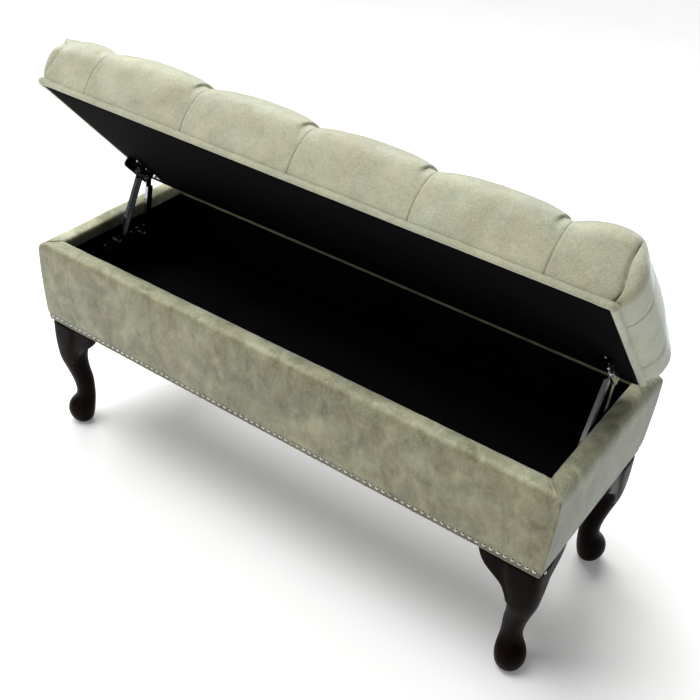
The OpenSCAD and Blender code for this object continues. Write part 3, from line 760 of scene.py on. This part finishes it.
def make_cover(name, turns, half, across, bulges, step):
    """One side, mitred at the rim's corners. turns is in quarter turns from the front, and
    bulges are how far its own face and its neighbours' faces swell. The front's rim is a little
    wider than the others."""
    section = catmull(np.array(SIDE_SECTION) * MM, 3)
    count = 2 * int(half / step) + 1
    t = np.linspace(-1, 1, count)
    t = 0.25 * t + 0.75 * (1.5 * t - 0.5 * t**3)
    rows, gaps = [], []
    for out, z in section:
        own, other = (np.interp(z / MM, *b) * MM * smooth(1 + out / (12 * MM)) for b in bulges)
        radius = (1.5 if out < -28 * MM else 2.6) * MM
        a, b = half + out + other, across + out + own
        length = side_length(a, radius)
        along, away = outline_point(t * length, a, b, radius)
        rows.append(np.array([along, -away, np.full(count, BOX_Z + z)]).T)
        gaps.append(length - np.abs(t) * length)
    points = np.vstack(rows)
    gap = np.concatenate(gaps)
    faces = strip(len(section), count)
    normals = outward(points, faces)
    height = points[:, 2] - BOX_Z
    inside = np.repeat(section[:, 0], count) < -28 * MM
    seed = 20 + turns
    face_only = smooth((height - 14 * MM) / (30 * MM)) * ~inside
    depth = 0.8 * MM * face_only * ripple(points, 0.12, seed)
    depth += 0.35 * MM * ripple(points * (1, 1, 0.5), 0.035, seed + 1)
    on_rim = smooth((height - 158 * MM) / (8 * MM))
    ear = np.exp(-(gap / (9 * MM)) ** 2) * np.exp(-((height - 160 * MM) / (9 * MM)) ** 2) * ~inside
    depth -= 1.6 * MM * ear
    depth += on_rim * (2.2 * MM * np.exp(-(gap / (1.1 * MM)) ** 2)
                       + 0.5 * MM * np.exp(-(gap / (14 * MM)) ** 2)
                       * np.sin(gap / (2.6 * MM) + 3 * ripple(points, 0.02, seed + 2)))
    depth += 0.35 * MM * inside * ripple(points, 0.02, seed + 3)
    if name.startswith("front"):
        beside = 0.5 - 0.5 * np.cos(2 * math.pi * points[:, 0] / NAIL_PITCH)
        row = np.exp(-((height - NAIL_Z) / (5 * MM)) ** 2) * ~inside
        depth += row * (0.9 - 1.0 * beside) * MM
        hem = (1 - smooth(height / (9 * MM))) * (height > 0.8 * MM)
        depth += 0.6 * MM * hem * ripple(points, 0.006, seed + 4)
    points = points - normals * depth[:, None]
    quarter = np.array(Matrix.Rotation(turns * math.pi / 2, 3, "Z"))
    points = points @ quarter.T
    inward = points[:, 1] + HALF_D           # widens the front's rim on its inner side
    wide = smooth((inward - 18 * MM) / (12 * MM)) * (1 - smooth((inward - 45 * MM) / (100 * MM)))
    points[:, 1] += 3 * MM * wide * (height > 140 * MM)
    cover = piece(name + "_panel", points, faces, "base", box_velvet_painted_shade_and_light)
    shell = cover.modifiers.new("shell", "SOLIDIFY")
    shell.thickness = 1.1 * MM
    shell.offset = -1
    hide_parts(name)
    return cover


make_cover("front_cover", 0, HALF_W, HALF_D, (LONG_SWELL, END_SWELL), 2.4 * MM)
make_cover("right_cover", 1, HALF_D, HALF_W, (END_SWELL, LONG_SWELL), 3.5 * MM)
make_cover("rear_cover", 2, HALF_W, HALF_D, (LONG_SWELL, END_SWELL), 5 * MM)
make_cover("left_cover", 3, HALF_D, HALF_W, (END_SWELL, LONG_SWELL), 3.5 * MM)

# ---------- linings ----------


def cloth_panel(name, node, axes, cells, sag, seed, body, place=None, box=None, hem=0.0):
    """A thin lining laid over a CAD lining, a little uneven. axes are its two long axes, cells
    its points along them, and hem is how far its border stands up. A box given replaces the
    CAD lining's own."""
    low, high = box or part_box(node)
    a, b = axes
    c = 3 - a - b
    u, v = np.meshgrid(np.linspace(0, 1, cells[0]), np.linspace(0, 1, cells[1]), indexing="ij")
    points = np.zeros((u.size, 3))
    points[:, a] = low[a] + (high[a] - low[a]) * u.ravel()
    points[:, b] = low[b] + (high[b] - low[b]) * v.ravel()
    points[:, c] = (low[c] + high[c]) / 2
    inner = smooth(np.minimum(u, 1 - u) * (cells[0] - 1) / 3) * smooth(
        np.minimum(v, 1 - v) * (cells[1] - 1) / 3)
    waves = 0.7 * ripple(points, 0.09, seed) + 0.3 * ripple(points, 0.03, seed + 1)
    points[:, c] += sag * waves * (0.3 + 0.7 * inner.ravel())
    border = 1 - smooth(np.minimum(np.minimum(u, 1 - u) * (high[a] - low[a]),
                                   v * (high[b] - low[b])) / (9 * MM))
    points[:, c] += hem * border.ravel()
    if node == "lid_lining":                 # its rear edge hangs and wanders a little
        rear = smooth((points[:, 1] + 24 * MM) / (14 * MM))
        points[:, 2] -= 0.45 * MM * rear
        points[:, 1] += rear * (1.5 * MM * ripple(points * (1, 0, 0), 0.03, seed + 2)
                                + 0.7 * MM * ripple(points * (1, 0, 0), 0.008, seed + 3))
    faces = strip(cells[0], cells[1])
    if c == 1:
        faces = [f[::-1] for f in faces]
    made = piece(name, points, faces, body, lining, place)
    shell = made.modifiers.new("shell", "SOLIDIFY")
    shell.thickness = 0.8 * MM
    shell.offset = 0
    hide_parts(node)
    return made


def make_wall_lining():
    """Lining glued round the cavity's walls, with soft folds in its corners."""
    low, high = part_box("wall_lining")
    a, b = high.x - 1.2 * MM, high.y - 1.2 * MM
    rows = 26
    columns = []
    for quarter in range(4):
        turn = Matrix.Rotation(quarter * math.pi / 2, 3, "Z")
        along, out = (a, b) if quarter % 2 == 0 else (b, a)
        count = int(2 * along / (9 * MM))
        t = spaced(-1, 1, count, 0.6)[:-1]
        x, y = outline_point(t * side_length(along, 5 * MM), along, out, 5 * MM)
        columns += [turn @ Vector((p, -q, 0)) for p, q in zip(x, y)]
    n = len(columns)
    points = []
    for j in range(rows):
        share = j / (rows - 1)
        row = [Vector((p.x, p.y, low.z + share * (high.z - low.z + 1 * MM))) for p in columns]
        edge = ripple(row, 0.018, 42)
        for p, w in zip(row, edge):
            p.z += share**4 * ((3.2 * MM if p.y > b - 2 * MM else 0) + 1.0 * MM * w)
        push = 0.5 * ripple(row, 0.06, 40) + 0.25 * ripple(row, 0.02, 41)
        points += [p - Vector((p.x / a**8 * abs(p.x)**7, p.y / b**8 * abs(p.y)**7, 0)).normalized()
                   * (0.5 + 0.6 * w) * MM for p, w in zip(row, push)]
    faces = [f[::-1] for f in strip(rows, n, 0, wrap=True)]
    made = piece("wall_lining_cloth", points, faces, "base", lining)
    shell = made.modifiers.new("shell", "SOLIDIFY")
    shell.thickness = 0.7 * MM
    shell.offset = -1
    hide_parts("wall_lining")
    return made


make_wall_lining()
cloth_panel("floor_lining_cloth", "floor_lining", (0, 1), (110, 40), 0.7 * MM, 50, "base")
lining_in = 9.8 * MM                         # the lid's lining ends inside the piping
lid_box = (Vector((lining_in - HALF_W, lining_in - DEPTH, 0.5 * MM)),
           Vector((HALF_W - lining_in, -4.2 * MM, 1.3 * MM)))
cloth_panel("lid_lining_cloth", "lid_lining", (0, 1), (150, 60), 0.3 * MM, 52, "lid", LID,
            lid_box, 0.9 * MM)
cloth_panel("dust_cover_cloth", "dust_cover", (0, 1), (110, 40), 0.5 * MM, 54, "base", None, None,
            0.25 * MM)

# ---------- legs ----------

# Stations down a leg: [height, distance of its centre in from the box's corner along the
# diagonal, half width, squareness (2 is round)].
LEG = [
    (-0.5, 48, 33, 4.5), (-24, 47.5, 33, 4.2), (-46, 44, 31, 3.4), (-70, 40.5, 27.6, 2.8),
    (-95, 40, 24.5, 2.4), (-123, 46, 21.3, 2.2), (-151, 53, 19.7, 2.1), (-176, 55.5, 18.5, 2),
    (-192, 54, 20, 2), (-210, 46.5, 26, 2), (-227, 43.5, 27, 2), (-243, 44, 23.5, 2),
    (-251, 45.5, 19, 2), (-256, 46, 15.5, 2),
]
LEG_SCALE = BOX_Z / (256 * MM)
# Outline of an ear: along the box's side from its corner, and height.
EAR = [(-112, -2), (-110, -10), (-105, -21.5), (-96.5, -34), (-81, -46), (-66, -57), (-57, -71),
       (-50, -90)]


def superellipse(centre, half, power, z, sides):
    """A ring whose flats face the box's sides."""
    a = 2 * math.pi * (np.arange(sides) + 0.5) / sides

    def bent(v):
        return np.sign(v) * np.abs(v) ** (2 / power)

    return np.array([-centre + half * bent(np.cos(a)), -centre + half * bent(np.sin(a)),
                     np.full(sides, z)]).T


def leg_body():
    """The shaft and the two ears as rough closed solids, before they are blended."""
    sides = 40
    stations = catmull(LEG, 6)
    points = np.vstack([superellipse(d * MM / math.sqrt(2), w * MM, p, z * MM * LEG_SCALE, sides)
                        for z, d, w, p in stations])
    n = len(stations)
    faces = [f[::-1] for f in strip(n, sides, 0, wrap=True)]
    faces.append(tuple(range(sides)))
    faces.append(tuple((n - 1) * sides + k for k in reversed(range(sides))))
    verts = points.tolist()
    top = -0.5 * MM
    curve = catmull(EAR, 3) * MM
    shape = [(-38 * MM, top), (curve[0][0], top)] + curve.tolist() + [(-38 * MM, -92 * MM)]
    for swap in (False, True):
        start = len(verts)
        for depth in (-5 * MM, -25 * MM):
            verts += [(depth, x, z) if swap else (x, depth, z) for x, z in shape]
        m = len(shape)
        side = [(start + k, start + (k + 1) % m, start + m + (k + 1) % m, start + m + k)
                for k in range(m)]
        caps = [tuple(start + k for k in reversed(range(m))),
                tuple(start + m + k for k in range(m))]
        new = side + caps
        faces += [f[::-1] for f in new] if swap else new
    return verts, faces


def blended_leg():
    """The leg as one carved piece: the parts fused, and the junctions softened."""
    verts, faces = leg_body()
    mesh = bpy.data.meshes.new("leg")
    mesh.from_pydata(verts, [], faces)
    rough = bpy.data.objects.new("leg_rough", mesh)
    bpy.context.scene.collection.objects.link(rough)
    fuse = rough.modifiers.new("fuse", "REMESH")
    fuse.mode, fuse.voxel_size = "VOXEL", 2.1 * MM
    soften = rough.modifiers.new("soften", "SMOOTH")
    soften.factor, soften.iterations = 0.5, 26
    bpy.context.view_layer.update()
    shaped = rough.evaluated_get(bpy.context.evaluated_depsgraph_get())
    done = bpy.data.meshes.new_from_object(shaped)
    bpy.data.objects.remove(rough)
    co = np.zeros(len(done.vertices) * 3)
    done.vertices.foreach_get("co", co)
    co = co.reshape(-1, 3)
    top, bottom = co[:, 2].max(), co[:, 2].min()
    co[:, 2] = -BOX_Z + (co[:, 2] - bottom) * (BOX_Z - 0.2 * MM) / (top - bottom)
    polygons = [tuple(p.vertices) for p in done.polygons]
    bpy.data.meshes.remove(done)
    return co, polygons


def make_legs():
    """The four legs, mirrored from one."""
    points, faces = blended_leg()
    for name, sx, sy in (("front_left_leg", -1, -1), ("front_right_leg", 1, -1),
                         ("rear_left_leg", -1, 1), ("rear_right_leg", 1, 1)):
        at = points * (sx, sy, 1) + (sx * HALF_W, sy * HALF_D, BOX_Z)
        leg = piece(name + "_carved", at, faces if sx * sy > 0 else [f[::-1] for f in faces],
                    "base", mahogany)
        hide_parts(name)


make_legs()

# ---------- finishes of the CAD nodes that stay ----------

FINISHES = {
    "timber": timber, "zinc": zinc, "nickel": nickel, "velvet": box_velvet_painted_shade_and_light,
    "velvet_lid": lid_velvet, "black_lining": lining, "mahogany": mahogany, "twine": twine,
    "foam": twine,
}
for part in frame["record"]["subparts"]:
    node = frame["nodes"][part["node"]]
    node.data.materials.clear()
    node.data.materials.append(FINISHES[part["material_slot"]])
    if part["material_slot"] in ("zinc", "timber"):
        edge = node.modifiers.new("bevelled_edges", "BEVEL")
        edge.width = (0.45 if part["material_slot"] == "zinc" else 0.8) * MM
        edge.segments = 2
        edge.limit_method = "ANGLE"
        edge.angle_limit = math.radians(50)
    # The zinc's bevelled faces get the bright zinc, a painted highlight along the edges.
    if part["material_slot"] == "zinc":
        node.data.materials.append(edge_highlight_zinc)
        edge.material = 1

# ---------- stage, light and camera ----------


def make_floor():
    """A plain pale floor."""
    size = 6.0
    mesh = bpy.data.meshes.new("floor")
    mesh.from_pydata([(-size, -size, 0), (size, -size, 0), (size, size, 0), (-size, size, 0)],
                     [], [(0, 1, 2, 3)])
    floor = bpy.data.objects.new("floor", mesh)
    bpy.context.scene.collection.objects.link(floor)
    n = Nodes("floor")
    colour = n.ramp(n.noise(3, 3), (0.3, (0.94, 0.94, 0.94)), (0.7, (0.97, 0.97, 0.97)))
    mesh.materials.append(n.set(Base_Color=colour, Roughness=0.9, Emission_Strength=0.14,
                                Emission_Color=grey(1.0)))


def area_light(name, place, target, size, power, colour):
    """A rectangular softbox that faces its target. size is its width and height."""
    data = bpy.data.lights.new(name, "AREA")
    data.shape, data.size, data.size_y = "RECTANGLE", size[0], size[1]
    data.energy, data.color = power, colour
    lamp = bpy.data.objects.new(name, data)
    lamp.location = place
    lamp.rotation_euler = (Vector(target) - Vector(place)).to_track_quat("-Z", "Y").to_euler()
    bpy.context.scene.collection.objects.link(lamp)


def sun_light(name, source, power, spread):
    """An even soft light from far away. source points towards it."""
    data = bpy.data.lights.new(name, "SUN")
    data.energy, data.angle = power, math.radians(spread)
    lamp = bpy.data.objects.new(name, data)
    lamp.rotation_euler = Vector(source).to_track_quat("Z", "Y").to_euler()
    bpy.context.scene.collection.objects.link(lamp)


def make_world():
    """A pale backdrop that gives only a little light of its own."""
    world = bpy.data.worlds.new("studio")
    world.use_nodes = True
    nodes, links = world.node_tree.nodes, world.node_tree.links
    glow = nodes["Background"]
    glow.inputs["Color"].default_value = grey(1.0)
    glow.inputs["Strength"].default_value = 0.12
    backdrop = nodes.new("ShaderNodeBackground")
    backdrop.inputs["Color"].default_value = grey(1.0)
    backdrop.inputs["Strength"].default_value = 0.88
    rays, shown = nodes.new("ShaderNodeLightPath"), nodes.new("ShaderNodeMixShader")
    links.new(rays.outputs["Is Camera Ray"], shown.inputs[0])
    links.new(glow.outputs[0], shown.inputs[1])
    links.new(backdrop.outputs[0], shown.inputs[2])
    links.new(shown.outputs[0], nodes["World Output"].inputs["Surface"])
    bpy.context.scene.world = world


def make_camera():
    """The view from the front right, well above the rim, slightly rolled."""
    azimuth, elevation, roll = math.radians(33.05), math.radians(36.0), math.radians(4.25)
    data = bpy.data.cameras.new("camera")
    data.lens, data.sensor_width = 54.82, 36
    camera = bpy.data.objects.new("camera", data)
    look = Vector((-math.sin(azimuth) * math.cos(elevation),
                   math.cos(azimuth) * math.cos(elevation), -math.sin(elevation)))
    turn = look.to_track_quat("-Z", "Y").to_matrix().to_4x4()
    camera.matrix_world = (Matrix.Translation((0.8735, -1.2765, RIM_Z + 1.0273)) @ turn
                           @ Matrix.Rotation(roll, 4, "Z"))
    bpy.context.scene.collection.objects.link(camera)
    bpy.context.scene.camera = camera


make_floor()
make_world()
sun_light("overhead", (-0.30, -0.14, 1), 2.4, 40)
area_light("front_left", (-1.3, -1.5, 1.5), (-0.4, 0, 0.35), (0.9, 0.9), 6, (1, 0.97, 0.93))
area_light("low_front", (-0.45, -3.0, 0.7), (0, 0, 0.4), (2.0, 0.7), 6, (1, 0.96, 0.90))
area_light("behind", (-0.8, 1.3, 1.8), (-0.2, 0.1, 0.6), (2.2, 0.7), 42, (1, 1, 0.98))
make_camera()
bpy.context.scene.view_settings.view_transform = "Standard"
